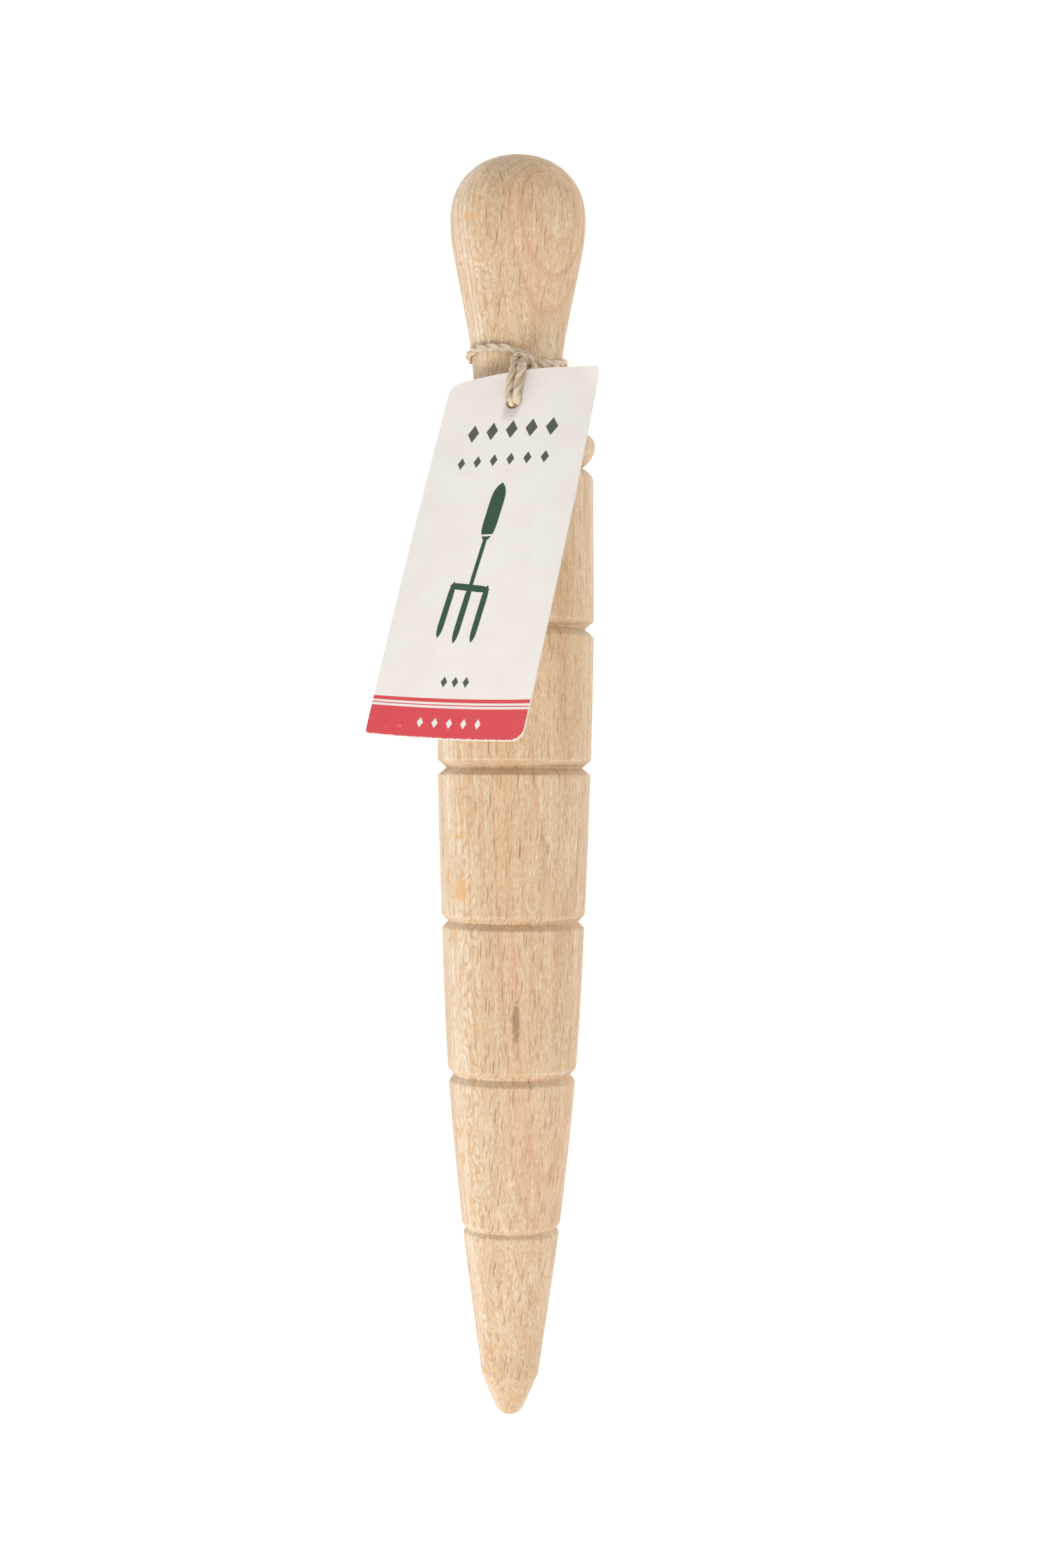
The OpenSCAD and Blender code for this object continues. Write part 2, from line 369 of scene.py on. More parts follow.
def tree_place(g):
    """Place in the tree. Out is the root of the squared offsets from the pith, round is their angle
    times the pith's offset, and quarter is 1 on the sides that lie along a radius of the tree."""
    place = g.node("ShaderNodeTexCoord").outputs["Object"]
    split = g.node("ShaderNodeSeparateXYZ", Vector=place)
    raw_x, y, z = (split.outputs[k] for k in "XYZ")
    slow = g.vector(g.times(raw_x, 30), g.times(y, 9), g.times(z, 30))
    drift = g.node("ShaderNodeTexNoise", Vector=slow, Scale=1.0, Detail=2.0).outputs["Color"]
    drift = g.node("ShaderNodeSeparateColor", Color=drift)
    x = g.add(raw_x, g.times(g.less(drift.outputs[0], 0.5), WANDER))
    z = g.add(g.less(z, AXIS_Z), g.times(g.less(drift.outputs[1], 0.5), WANDER))
    out_x = g.add(x, PITH_OFF * float(np.sin(PITH_TURN)))
    out_z = g.add(z, PITH_OFF * float(np.cos(PITH_TURN)))
    out = g.sum("SQRT", g.add(g.times(out_x, out_x), g.times(out_z, out_z)))
    around = g.times(g.sum("ARCTAN2", out_x, out_z), PITH_OFF)
    off_pith = g.less(g.sum("ARCTAN2", x, z), float(PITH_TURN))
    quarter = g.ramp(g.sum("ABSOLUTE", g.sum("COSINE", off_pith)), 0.5, 0.08)
    return SimpleNamespace(place=place, raw_x=raw_x, x=x, y=y, z=z, slow=slow, out=out,
                           around=around, off_pith=off_pith, quarter=quarter)


print("beech: pith %.0f mm off the axis" % (PITH_OFF / MM))

# %% [markdown]
# A year of growth starts pale and ends in a thin darker line. The line's strength is drawn
# anew for each year, because good summers and bad ones differ. Fibres and pores are noise
# squeezed across the grain and drawn out along it.

# %% Growth rings and fibres
YEAR = 1.75 * MM
YEAR_START = 11.9 * MM


def growth_rings(g, tree):
    """Age in years from the first one, share of its year gone by, and cover of the line that ends it."""
    age = g.sum("DIVIDE", g.less(tree.out, PITH_OFF + YEAR_START), YEAR)
    age = g.add(age, g.times(g.less(g.noise(tree.slow, 3.0, 1), 0.5), 0.9))
    gone = g.sum("FRACT", age)
    draw = g.node("ShaderNodeTexWhiteNoise", {"noise_dimensions": "1D"}, W=g.sum("FLOOR", age))
    strength = g.ramp(draw.outputs["Value"], 0.0, 1.0, 0.25, 1.0)
    line = g.times(g.times(g.ramp(gone, 0.66, 0.93), g.ramp(gone, 1.0, 0.96)), strength)
    return age, gone, g.times(line, g.ramp(tree.y, 0.2, 0.25, 0.24, 0.5))


def streaks(g, tree, across, along, detail):
    """Noise with across waves a metre over the grain and along waves a metre with it."""
    place = g.vector(g.times(tree.x, across), g.times(tree.y, along), g.times(tree.z, across))
    return g.noise(place, detail=detail)


print("one year is %.2f mm" % (YEAR / MM))

# %% [markdown]
# Each ray is the middle of one cell of a Voronoi pattern, drawn out along the radius and along
# the grain, and thick or thin by the cell's own random number. Where the surface lies along
# the rays, their edges show as loops one inside another, which are the level lines of a slow
# noise.

# %% Rays
RAY_FACE_TURN = np.radians(12)
LOOPS = 9.0


def rays(g, tree, wide, tall, deep, low, high):
    """Cover of one blade to a cell. The cell's sides are in millimetres round, along and out."""
    cell = g.node("ShaderNodeTexVoronoi", Scale=1.0, Randomness=1.0, Vector=g.vector(
        g.sum("DIVIDE", tree.around, wide * MM), g.sum("DIVIDE", tree.y, tall * MM),
        g.sum("DIVIDE", tree.out, deep * MM)))
    chance = g.node("ShaderNodeSeparateColor", Color=cell.outputs["Color"]).outputs[0]
    edge = g.ramp(chance, 0.1, 1.0, low, high)
    return g.ramp(g.sum("DIVIDE", cell.outputs["Distance"], edge), 1.1, 0.55)


def ray_loops(g, tree):
    """Cover of the loops, and of the strip of surface that lies along the rays."""
    across_rays = g.sum("COSINE", g.less(tree.off_pith, float(RAY_FACE_TURN)))
    along_rays = g.ramp(g.sum("ABSOLUTE", across_rays), 0.2, 0.09)
    slow = g.vector(g.times(tree.x, 250), g.times(tree.y, 105), g.times(tree.z, 250))
    level = g.sum("FRACT", g.times(g.noise(slow, detail=0.5), LOOPS))
    return g.times(g.ramp(g.sum("ABSOLUTE", g.less(level, 0.5)), 0.26, 0.04), along_rays), along_rays


print("rays turned %.0f degrees from the quarter" % np.degrees(RAY_FACE_TURN))

# %% [markdown]
# Every billet has marks of its own. This one has broad orange flecks down one side and one
# grey bruise. Each is an oval whose edge is made ragged by noise, only on the upper side.

# %% Marks of this billet
FLECK, RAY, BRUISE = (222, 168, 100), (196, 142, 88), (124, 104, 72)
# Each mark: place across and along, half width, half length, raggedness, colour.
MARKS = [(-12.1, 125.3, 1.7, 3.5, 1.6, FLECK), (-13.3, 148.8, 1.0, 0.45, 2.2, FLECK),
         (-12.8, 137.6, 1.4, 0.4, 2.2, FLECK), (-13.4, 140.6, 1.1, 0.3, 2.2, FLECK),
         (-11.8, 282.8, 0.9, 1.5, 2.0, FLECK), (-11.4, 61.4, 0.7, 1.5, 2.2, FLECK),
         (-8.8, 144.9, 0.4, 2.3, 0.9, RAY), (0.8, 95.0, 0.95, 5.6, 0.9, BRUISE)]


def lay_marks(g, tree):
    """Covers each oval, where the root of its two squared shares, made ragged, is less than one."""
    ragged = g.less(g.noise(tree.place, 900, 3), 0.5)
    upper = g.ramp(tree.z, 0.0, 2 * MM)
    for mark_x, mark_y, half_x, half_y, rough, tint in MARKS:
        dx = g.sum("DIVIDE", g.less(tree.raw_x, mark_x * MM), half_x * MM)
        dy = g.sum("DIVIDE", g.less(tree.y, mark_y * MM), half_y * MM)
        reach = g.sum("SQRT", g.add(g.times(dx, dx), g.times(dy, dy)))
        reach = g.add(reach, g.times(ragged, rough))
        cover = g.times(g.ramp(reach, 1.15, 0.5), upper)
        g.lay(g.times(cover, 0.62), srgb(*tint))


print(len(MARKS), "marks on the billet")

# %% [markdown]
# The tints are laid one over another, from the broadest figure to the finest. Surfaces that face along
# the axis, on the dome and the point, are painted greyer: partly the end grain's own tone, partly
# painted shade on the dome. The last stretch of the point is also painted darker. Sanded and unvarnished
# wood is fairly rough, and its loose fibre ends give the sides a faint pale sheen.

# %% Beech material
def beech():
    """Wood, fibres, growth rings, rays, pores, marks, and ends greyed partly for end grain and partly as
    painted shade, one over another.
    """
    g = Graph("beech")
    tree = tree_place(g)
    age, gone, year_line = growth_rings(g, tree)
    fine = streaks(g, tree, 3000, 120, 3)
    middling = streaks(g, tree, 620, 22, 3)
    broad = streaks(g, tree, 170, 7, 2)
    speck = streaks(g, tree, 4000, 760, 2)
    pores = g.ramp(streaks(g, tree, 4200, 330, 2), 0.56, 0.7)
    g.colour = g.blend(g.ramp(broad, 0.3, 0.7), srgb(219, 196, 163), srgb(210, 183, 147))
    g.lay(g.times(tree.quarter, 0.85), srgb(242, 227, 204))
    g.lay(g.ramp(middling, 0.35, 0.7, 0, 0.5), srgb(200, 163, 122))
    g.lay(g.ramp(middling, 0.45, 0.25, 0, 0.3), srgb(234, 214, 182))
    g.lay(g.ramp(fine, 0.35, 0.75, 0, 0.4), srgb(188, 152, 110))
    g.lay(g.ramp(speck, 0.52, 0.7, 0, 0.5), srgb(182, 144, 104))
    g.lay(g.ramp(speck, 0.48, 0.32, 0, 0.42), srgb(240, 224, 194))

    # The year's own tint, two pinker years with a line where they start, and the yearly lines.
    g.lay(g.times(g.ramp(gone, 0.1, 0.9), 0.16), srgb(210, 158, 116))
    pink = g.times(g.ramp(age, -0.1, 0.1), g.ramp(age, 1.7, 1.2))
    g.lay(g.times(pink, 0.17), srgb(224, 164, 122))
    g.lay(g.times(g.ramp(g.sum("ABSOLUTE", age), 0.13, 0.04), 0.3), srgb(196, 140, 96))
    g.lay(year_line, srgb(188, 140, 100))

    # Rays are dark where they are cut across, and pale orange on the quarter.
    dash = g.blend(tree.quarter, srgb(152, 102, 68), srgb(222, 170, 112))
    loops, along_rays = ray_loops(g, tree)
    g.lay(g.times(rays(g, tree, 0.36, 6.5, 5, 0.14, 0.32), 0.6), dash)
    g.lay(g.times(rays(g, tree, 0.46, 10.0, 8, 0.06, 0.28), 0.68), dash)
    g.lay(g.times(loops, 0.58), srgb(202, 156, 104))
    broad_rays = g.times(rays(g, tree, 1.2, 2.0, 8, 0.1, 0.36), along_rays)
    g.lay(g.times(broad_rays, 0.5), srgb(222, 178, 124))
    g.lay(g.times(pores, 0.3), srgb(150, 110, 78))
    lay_marks(g, tree)

    normal = g.node("ShaderNodeNewGeometry").outputs["Normal"]
    facing = g.node("ShaderNodeSeparateXYZ", Vector=normal).outputs["Y"]
    # Painted shade and end grain: faces that look along the axis, on the dome and the point, are greyed;
    # on the dome this stands in for shade.
    g.lay(g.ramp(g.sum("ABSOLUTE", facing), 0.45, 1.0, 0, 0.42), srgb(176, 142, 108))
    # Darker over the last 26 mm towards the point.
    g.lay(g.ramp(tree.y, 0.026, 0.006, 0, 0.22), srgb(176, 142, 108))

    g.put(g.shader.inputs["Base Color"], g.colour)
    g.put(g.shader.inputs["Roughness"], g.ramp(middling, 0.3, 0.7, 0.48, 0.64))
    g.shader.inputs["Specular IOR Level"].default_value = 0.34
    g.shader.inputs["Sheen Weight"].default_value = 0.14
    g.shader.inputs["Sheen Roughness"].default_value = 0.45
    height = g.add(g.times(fine, 0.6), g.times(pores, -0.8))
    g.put(g.shader.inputs["Normal"], g.bump(height, 0.05 * MM, 0.55))
    return g.material


wood.data.materials.append(beech())
print("beech has", len(wood.data.materials[0].node_tree.nodes), "nodes")

# %% [markdown]
# ## The card tag
#
# A swing tag is stiff card, but it is never flat. This one leans to one side, bows across its
# width near the twine, bows the other way at its free end, and has one top corner turned down
# and the other turned up. It is laid out flat first, as a grid from the punched hole to the cut
# edge, and one formula carries every flat point to its place on the bowed card.

# %% The card's centre line
CARD_WIDTH = 41.5 * MM
CARD_LENGTH = 90.2 * MM
CARD_THICK = 0.42 * MM
HOLE_DOWN = 8.0 * MM
YAW, PITCH, ROLL = np.radians([10.4, 18.4, 33.8])
PITCH_EASE, ROLL_EASE = np.radians([-7.2, -1.8])
HOLE_SHIFT = np.array([0, 0, 0.55]) * MM


def way_down(slope):
    """Direction down the card at a slope: back along the tool, aside by the yaw, and up."""
    return np.stack([-np.sin(YAW) * np.cos(slope), -np.cos(YAW) * np.cos(slope), np.sin(slope)], -1)


def card_line(down):
    """Centre line of the card: its slope eases evenly with length, and is summed along it."""
    steps = np.linspace(0, CARD_LENGTH, 240)
    way = way_down(PITCH + PITCH_EASE * (steps - HOLE_DOWN) / CARD_LENGTH)
    inside = (way[1:] + way[:-1]) / 2 * (steps[1] - steps[0])
    line = np.concatenate([np.zeros((1, 3)), np.cumsum(inside, 0)])
    place = [np.interp(down, steps, c) - np.interp(HOLE_DOWN, steps, c) for c in line.T]
    return np.stack(place, -1) + HOLE + HOLE_SHIFT


print("card %.1f x %.1f mm" % (CARD_WIDTH / MM, CARD_LENGTH / MM))

# %% [markdown]
# Across its width the card is an arc, whose bend changes evenly from one sign at the hole to
# the other at the free end. The corners are rolled before that, on the flat card, each round
# a cylinder that touches it along a slanting crease. The pull of the twine also pushes the
# card's top edge a little out of line.

# %% The bow and the curled corners
BOW_AT_HOLE, BOW_CHANGE = 9.0, -19.4
NEAR_TOP = 30 * MM
# Each curled corner: its side, where the crease stands before the corner, and the roll's radius.
CURLS = [(-1, 2.6 * MM, -6 * MM), (1, 5.5 * MM, 15 * MM)]


def curl(across, down, lift, side, start, tight):
    """Rolls a top corner: distance past the crease becomes an arc, up or down by the radius's sign."""
    toward = np.array([side, -1]) * np.sqrt(0.5)
    beyond = (across - side * CARD_WIDTH / 2) * toward[0] + down * toward[1] + start
    beyond = np.maximum(beyond, 0)
    turn = beyond / abs(tight)
    slide = abs(tight) * np.sin(turn) - beyond
    return across + slide * toward[0], down + slide * toward[1], lift + tight * (1 - np.cos(turn))


def on_card(across, down, lift):
    """Carries flat points to the bowed card: down the centre line, round the bow, up the normal."""
    share_across = across / (CARD_WIDTH / 2)
    near_top = np.clip(1 - down / NEAR_TOP, 0, 1)
    bulge = 0.35 * share_across - 0.4 * np.exp(-(across / (9 * MM)) ** 2)
    down = down + near_top ** 3 * bulge * MM
    across = across - 0.5 * MM * near_top * np.clip(share_across, 0, 1)
    for corner in CURLS:
        across, down, lift = curl(across, down, lift, *corner)
    share = (down - HOLE_DOWN) / CARD_LENGTH
    lean = (ROLL + ROLL_EASE * share)[..., None]
    along = way_down(PITCH + PITCH_EASE * share)
    level = np.broadcast_to([np.cos(YAW), -np.sin(YAW), 0.0], along.shape)
    up = np.cross(along, level)
    side = level * np.cos(lean) + up * np.sin(lean)
    face = up * np.cos(lean) - level * np.sin(lean)
    bow = BOW_AT_HOLE + BOW_CHANGE * share
    bow = np.where(np.abs(bow) < 0.05, 0.05, bow)
    turn = bow * across
    reach = np.sin(turn) / bow + lift * np.sin(turn)
    rise = (np.cos(turn) - 1) / bow + lift * np.cos(turn)
    return card_line(down) + side * reach[..., None] + face * rise[..., None]


print("bow radius at the hole %.0f mm" % (1 / BOW_AT_HOLE / MM))

# %% [markdown]
# The flat outline is a rectangle whose four corners are rounded by different amounts: one has
# been cut rounder, the others are only worn. Lines from the hole's rim to the outline fill the
# card, packed closely near the edge so that the worn rim of the print has somewhere to go.

# %% Lay out the flat card
CARD_COLUMNS = 400
CARD_ROWS = 46
RIM_R = 2.1 * MM
# Each corner: its side, its end of the card, its radius, and the angle at which its arc starts.
CORNERS = [(1, 0, 0.9 * MM, 0), (-1, 0, 1.0 * MM, 90), (-1, 1, 0.8 * MM, 180), (1, 1, 3.0 * MM, 270)]


def card_outline(count):
    """Points at even steps round the outline: four corner arcs, with straight sides between them."""
    path = []
    for side, end, r, start in CORNERS:
        turn = np.radians(start + np.linspace(0, 90, 24))
        middle_x = side * (CARD_WIDTH / 2 - r)
        middle_y = CARD_LENGTH - r if end else r
        path.append(np.stack([middle_x + r * np.cos(turn), middle_y - r * np.sin(turn)], -1))
    path = np.concatenate(path + [path[0][:1]])
    run = np.concatenate([[0], np.cumsum(np.hypot(*np.diff(path, axis=0).T))])
    at = np.linspace(0, run[-1], count, endpoint=False)
    return np.stack([np.interp(at, run, path[:, k]) for k in (0, 1)], -1)


outline = card_outline(CARD_COLUMNS)
bearing = np.unwrap(np.arctan2(-(outline[:, 1] - HOLE_DOWN), outline[:, 0]))
steady = np.linspace(bearing[0], bearing[0] + 2 * np.pi, CARD_COLUMNS, endpoint=False)
bearing = (bearing + steady) / 2
rim = np.stack([RIM_R * np.cos(bearing), HOLE_DOWN - RIM_R * np.sin(bearing)], -1)
EDGE_PACKING = 2.2
spread = (1 - (1 - np.linspace(0, 1, CARD_ROWS)) ** EDGE_PACKING)[:, None, None]
flat = rim * (1 - spread) + outline * spread
print("flat card grid", flat.shape[:2])

# %% [markdown]
# The front and the back of the card are the same flat grid, lifted by half the thickness to
# each side. The back runs in the other direction, so that the two join at the outline and at
# the hole into one closed skin. Each point keeps its place on the flat card as numbers, which
# is where the printing goes.

# %% Build the card
both = np.concatenate([flat, flat[::-1]])
side_up = np.repeat([0.5, -0.5], CARD_ROWS)[:, None] + np.zeros(both.shape[:2])
card_points = on_card(both[..., 0], both[..., 1], side_up * CARD_THICK)
card = make_mesh("card_tag", card_points.reshape(-1, 3),
                 grid_faces(len(both), CARD_COLUMNS, close_rows=True, close_columns=True))
edge_gap = np.linalg.norm(both - outline[None], axis=-1)
for name, values in (("across", both[..., 0] / MM), ("down", both[..., 1] / MM),
                     ("from_edge", edge_gap / MM), ("front", side_up + 0.5)):
    point_value(card, name, values.ravel())
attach(card, "swing_tag")
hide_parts("swing_tag")
print("card:", len(card.data.polygons), "faces")

# %% [markdown]
# ## Printing on the card
#
# The print is plain ornament: rows of lozenges, a drawing of a hand fork, and a red band. Every
# stroke of the fork is the same figure: a centre line, and a half-width that closes at both
# ends, slowly like a leaf or suddenly like a peg. The figures are worked out in the card's own
# millimetres, so they stay sharp at any size and follow the bow.

# %% Figures to print with
SOFT = 0.1


def stroke(g, across, down, middle_x, middle_y, lean, half_long, half_wide, sharp):
    """Covers where the distance from the centre line is less than the half-width there, which is
    half_wide times one less the share of the half length to the power sharp."""
    c, s = float(np.cos(np.radians(lean))), float(np.sin(np.radians(lean)))
    dx, dy = g.less(across, middle_x), g.less(down, middle_y)
    along = g.sum("ABSOLUTE", g.less(g.times(dy, c), g.times(dx, s)))
    off = g.sum("ABSOLUTE", g.add(g.times(dx, c), g.times(dy, s)))
    close = g.sum("POWER", g.sum("DIVIDE", along, half_long), float(sharp))
    return g.ramp(g.less(g.times(g.less(1.0, close), half_wide), off), -SOFT, SOFT)


def lozenges(g, across, down, middle_x, middle_y, count, step, half_wide, half_tall):
    """Covers the nearest of a row of diamonds, whose two distances add up to less than one."""
    dx = g.less(across, middle_x - step * (count - 1) / 2)
    nearest = g.sum("MAXIMUM", g.sum("ROUND", g.sum("DIVIDE", dx, step)), 0.0)
    nearest = g.sum("MINIMUM", nearest, float(count - 1))
    dx = g.sum("DIVIDE", g.sum("ABSOLUTE", g.less(dx, g.times(nearest, step))), half_wide)
    dy = g.sum("DIVIDE", g.sum("ABSOLUTE", g.less(down, middle_y)), half_tall)
    return g.ramp(g.add(dx, dy), 1 + SOFT / half_wide, 1 - SOFT / half_wide)


def line(g, down, middle, half):
    """Covers where the distance from a line across the card is less than half its width."""
    return g.ramp(g.less(half, g.sum("ABSOLUTE", g.less(down, middle))), -SOFT, SOFT)


def joined(g, parts):
    """The largest cover of several figures."""
    total = parts[0]
    for part in parts[1:]:
        total = g.sum("MAXIMUM", total, part)
    return total


print("figures are soft over %.1f mm" % (2 * SOFT))

# %% [markdown]
# The fork has a handle, a shaft, a crossbar and three tines. Below the last row of grey
# lozenges comes the red band. Two white lines and a row of white lozenges are left out of it,
# and it is rubbed away along the cut edge, where a tag wears first.

# %% What is printed
# Each stroke: middle across and down, lean in degrees, half length, half width, end sharpness.
FORK = [(0.6, 36.2, 7, 7.4, 1.9, 5), (-0.9, 48.5, 7, 6.7, 0.55, 12), (-1.7, 54.6, 97, 5.4, 0.8, 8),
        (-6.9, 59.8, 7, 6.9, 0.8, 7), (-2.4, 60.8, 7, 7.2, 0.8, 7), (2.2, 60.9, 7, 6.9, 0.8, 7)]
FERRULE = (41.9, 0.22)
BAND_TOP = CARD_LENGTH / MM - 9.3
WHITE_LINES = [(1.15, 0.26), (1.95, 0.28)]
# Each row of lozenges: middle across and down, how many, step, half width, half height.
GREY_ROWS = [(1.0, 15.4, 5, 5.3, 1.6, 2.3), (0.0, 23.0, 6, 4.5, 1.05, 1.55),
             (-0.6, 77.0, 3, 2.9, 0.85, 1.3)]
WHITE_ROW = (0.0, BAND_TOP + 5.7, 5, 3.8, 0.8, 1.2)


def red_band(g, place, across, down, from_edge):
    """Cover of the band: below its top line, less the white figures, worn near the edge."""
    band = g.ramp(down, BAND_TOP - SOFT, BAND_TOP + SOFT)
    for middle, half in WHITE_LINES:
        band = g.times(band, g.less(1.0, line(g, down, BAND_TOP + middle, half)))
    band = g.times(band, g.less(1.0, lozenges(g, across, down, *WHITE_ROW)))
    wear = g.add(from_edge, g.times(g.less(g.noise(place, 1500, 4, 0.7), 0.5), 1.1))
    band = g.times(band, g.ramp(wear, 0.1, 0.34))
    return g.times(band, g.ramp(g.noise(place, 900, 4, 0.7), 0.22, 0.36, 0.55, 1.0))


print("band starts %.1f mm down the card" % BAND_TOP)

# %% Card material
INK = srgb(52, 84, 60)
GREY_INK = srgb(88, 92, 80)
BAND = srgb(222, 79, 87)
PAPER = srgb(245, 239, 232)
# Painted shade: the back is the same paper as the front, painted darker so that it does not burn out
# white where the lights reach it.
SHADED_CARD_BACK = srgb(216, 207, 194)


def printed_card():
    """Uncoated card, its back painted darker as shade, with three inks laid on the front."""
    g = Graph("printed_card")
    across, down, from_edge, front = map(g.value, ("across", "down", "from_edge", "front"))
    place = g.node("ShaderNodeTexCoord").outputs["Object"]
    fork = joined(g, [stroke(g, across, down, *s) for s in FORK])
    fork = g.times(fork, g.less(1.0, line(g, down, *FERRULE)))
    grey = joined(g, [lozenges(g, across, down, *row) for row in GREY_ROWS])
    band = red_band(g, place, across, down, from_edge)
    patchy = g.ramp(g.noise(place, 2600, 3), 0.2, 0.36, 0.8, 1.0)
    printed = g.ramp(front, 0.6, 0.9)

    g.colour = g.blend(printed, SHADED_CARD_BACK, PAPER)
    g.lay(g.ramp(g.noise(place, 130, 3), 0.35, 0.7, 0, 0.25), srgb(231, 223, 216))
    g.lay(g.times(g.times(grey, patchy), printed), GREY_INK)
    g.lay(g.times(g.times(fork, patchy), printed), INK)
    g.lay(g.times(band, printed), BAND)
    g.put(g.shader.inputs["Base Color"], g.colour)
    g.shader.inputs["Roughness"].default_value = 0.62
    g.shader.inputs["Specular IOR Level"].default_value = 0.3
    g.put(g.shader.inputs["Normal"], g.bump(g.noise(place, 1800, 3), 0.03 * MM, 0.35))
    return g.material


card.data.materials.append(printed_card())
print("card printed with", len(FORK), "strokes and", len(GREY_ROWS) + 1, "rows of lozenges")

# %% [markdown]
# ## Twine
#
# The twine is two plies of natural fibre twisted round each other. A smooth tube with a twisted
# picture on it looks like wire, so each ply is a surface of its own. A strand is made from a
# smooth path and a direction that says which way is outwards at each point.

# %% Smooth paths
TWINE = 2.0 * MM
PATH_STEP = 0.16 * MM


def smooth_path(points):
    """Closed Catmull-Rom curve through given points, sampled at even steps of length."""
    p = np.concatenate([points[-1:], points, points[:2]])
    t = np.linspace(0, 1, 40, endpoint=False)[None, :, None]
    a, b, c, d = (p[k:len(p) - 3 + k][:, None, :] for k in range(4))
    curve = 0.5 * (2 * b + (c - a) * t + (2 * a - 5 * b + 4 * c - d) * t ** 2
                   + (3 * b - a - 3 * c + d) * t ** 3)
    curve = np.concatenate([curve.reshape(-1, 3), p[-2:-1]])
    run = np.concatenate([[0], np.cumsum(np.linalg.norm(np.diff(curve, axis=0), axis=1))])
    at = np.linspace(0, run[-1], int(run[-1] / PATH_STEP))[:-1]
    return np.stack([np.interp(at, run, curve[:, k]) for k in range(3)], -1)


def unit(v):
    """Each vector divided by its own length."""
    return v / np.linalg.norm(v, axis=-1, keepdims=True)


def section_axes(path, outward):
    """Outward and sideways directions of the section, square to a closed path at every point."""
    ahead = unit(np.roll(path, -1, 0) - np.roll(path, 1, 0))
    out = unit(outward - (outward * ahead).sum(-1, keepdims=True) * ahead)
    return out, np.cross(ahead, out)


def length_round(path):
    """Length of a closed path: its steps, and the one back to the start, summed."""
    return np.linalg.norm(np.roll(path, -1, 0) - path, axis=1).sum()


print("paths are sampled every %.2f mm" % (PATH_STEP / MM))

# %% [markdown]
# A ply is a tube round a helix. Its section is lobed like a bundle of fibres, and the thickness
# swells and thins along it, as spun fibre does. The two plies of a strand are the same tube
# half a turn apart.

# %% One ply
PLY_LAY = 7.2 * MM
PLY_OFF, PLY_R = 0.235, 0.29


def twisted_ply(path, outward, phase, seed, flat=1.0, sides=28, thick=TWINE):
    """Ribbed tube round a helix: the section's centre circles the path once a lay. The helix and the
    section are squeezed by flat in the outward direction, where the twine is pressed on something."""
    out, side = section_axes(path, outward)
    run = np.linalg.norm(np.diff(path, axis=0), axis=1).sum()
    turns = max(1, round(run / PLY_LAY))
    share = np.linspace(0, 1, len(path), endpoint=False)
    twist = 2 * np.pi * turns * share + phase
    draw = np.random.default_rng(seed)
    slub = sum(np.sin(2 * np.pi * (k * share + draw.random()))
               for k in (turns, 2 * turns + 1, 3 * turns + 2))
    slub = (1 + 0.06 * slub)[:, None]
    helix = flat * np.cos(twist)[:, None] * out + np.sin(twist)[:, None] * side
    centre = path + PLY_OFF * thick * helix
    around = np.linspace(0, 2 * np.pi, sides, endpoint=False)[None, :]
    ribs = 0.0
    for k in (3, 5, 7, 9):
        slow = 2 * np.pi * draw.integers(1, 4) * share[:, None] + draw.uniform(0, 6, 1)
        depth = draw.uniform(0.025, 0.05)
        ribs = ribs + depth * np.sin(k * around + 1.5 * np.sin(slow) + draw.uniform(0, 6))
    r = (PLY_R * thick * slub * (1 + ribs))[..., None]
    across = flat * np.cos(around)[..., None] * out[:, None, :]
    return centre[:, None, :] + r * (across + np.sin(around)[..., None] * side[:, None, :])


print("one turn of ply in %.1f mm" % (PLY_LAY / MM))

# %% [markdown]
# Stray fibres make twine look soft. Each is a thin three-sided hair on a curved line, and all of
# a strand's hairs are worked out at once, as one array of hairs, rings and points.

# %% Stray fibres
HAIR_R = 0.028 * MM
HAIR_LENGTH = (0.7 * MM, 3.0 * MM)


def stray_fibres(path, outward, count, seed, flat=1.0, thick=TWINE, fan=1.9):
    """Fine hairs that leave the strand at random places, up to fan radians from outwards, and lean
    along it: the line is the foot, a rise by the 1.5th power, a run, and a wave by the square."""
    draw = np.random.default_rng(seed)
    out, side = section_axes(path, outward)
    at = draw.integers(3, len(path) - 3, count)
    turn = draw.uniform(-fan, fan, count)
    away = np.cos(turn)[:, None] * out[at] * flat + np.sin(turn)[:, None] * side[at]
    along = unit(path[np.minimum(at + 2, len(path) - 1)] - path[at - 2])
    along = along * draw.choice([-1, 1], count)[:, None]
    length = draw.uniform(*HAIR_LENGTH, count)[:, None, None]
    t = np.linspace(0, 1, 7)[None, :, None]
    rise = draw.uniform(0.15, 0.5, count)[:, None, None]
    wave = draw.normal(0, 0.12, (count, 1, 3))
    line_of_hair = (path[at][:, None, :] + away[:, None, :] * (0.4 * thick + length * rise * t ** 1.5)
                    + along[:, None, :] * length * t + wave * length * t ** 2)
    corner = np.linspace(0, 2 * np.pi, 3, endpoint=False)[None, None, :, None]
    fine = (HAIR_R * (1 - 0.7 * t))[..., None]
    across = unit(np.cross(along, away))[:, None, None, :]
    ring = (np.cos(corner) * away[:, None, None, :] + np.sin(corner) * across) * fine
    return line_of_hair[:, :, None, :] + ring


print("hairs are %.2f mm thick" % (2 * HAIR_R / MM))

# %% [markdown]
# Plies and hairs go into one mesh. Each point keeps where it is round its ply and along it, so
# that the material can draw fibres that follow the twist. The place round the ply is kept as
# a sine and a cosine, because an angle would jump where it starts again.

